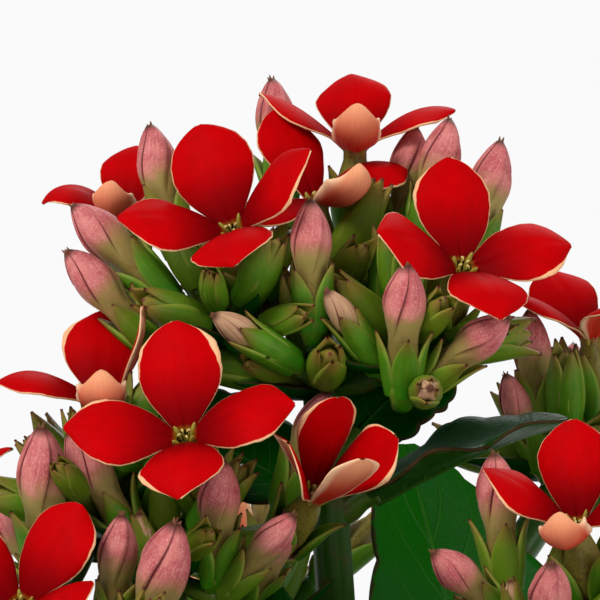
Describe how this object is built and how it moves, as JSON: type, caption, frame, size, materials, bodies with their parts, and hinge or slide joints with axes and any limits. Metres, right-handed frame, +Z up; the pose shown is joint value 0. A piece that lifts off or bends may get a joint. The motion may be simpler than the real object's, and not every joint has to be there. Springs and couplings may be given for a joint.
{
  "type": "potted_plant",
  "caption": "Kalanchoe in a plain tapered pot: branched stems with scalloped fleshy leaves carry domed heads of red four-petalled flowers and pink buds.",
  "frame": {"origin": "middle of the pot's base, on the surface it stands on", "axes": "+Z up; -Y is the front, the side the picture shows; +X to the right seen from the front"},
  "size_m": [0.1678, 0.1619, 0.2236],
  "materials": {
    "petals": "soft satin",
    "flower_stalks": "waxy satin",
    "foliage": "waxy gloss",
    "pot": "matt moulded",
    "soil": "crumbly"
  },
  "bodies": {
    "root": {"bloom_a1": "petals", "bloom_a2": "petals", "bloom_a3": "petals", "bloom_a4": "petals", "bloom_a5": "petals", "bloom_b1": "petals", "bloom_b2": "petals", "bloom_b3": "petals", "bloom_c1": "petals", "bloom_d1": "petals", "bloom_d2": "petals", "bloom_e1": "petals", "bloom_e2": "petals", "bloom_e3": "petals", "bloom_f1": "petals", "bloom_f2": "petals", "bloom_g1": "petals", "bloom_g2": "petals", "bloom_g3": "petals", "bloom_h1": "petals", "bloom_h2": "petals", "bloom_h3": "petals", "bloom_k1": "petals", "bloom_k2": "petals", "bloom_k3": "petals", "bloom_l1": "petals", "bloom_l2": "petals", "bloom_l3": "petals", "foliage": "foliage", "head_a": "flower_stalks", "head_b": "flower_stalks", "head_c": "flower_stalks", "head_d": "flower_stalks", "head_e": "flower_stalks", "head_f": "flower_stalks", "head_g": "flower_stalks", "head_h": "flower_stalks", "head_k": "flower_stalks", "head_l": "flower_stalks", "pot": "pot", "soil": "soil"}
  },
  "joints": []
}
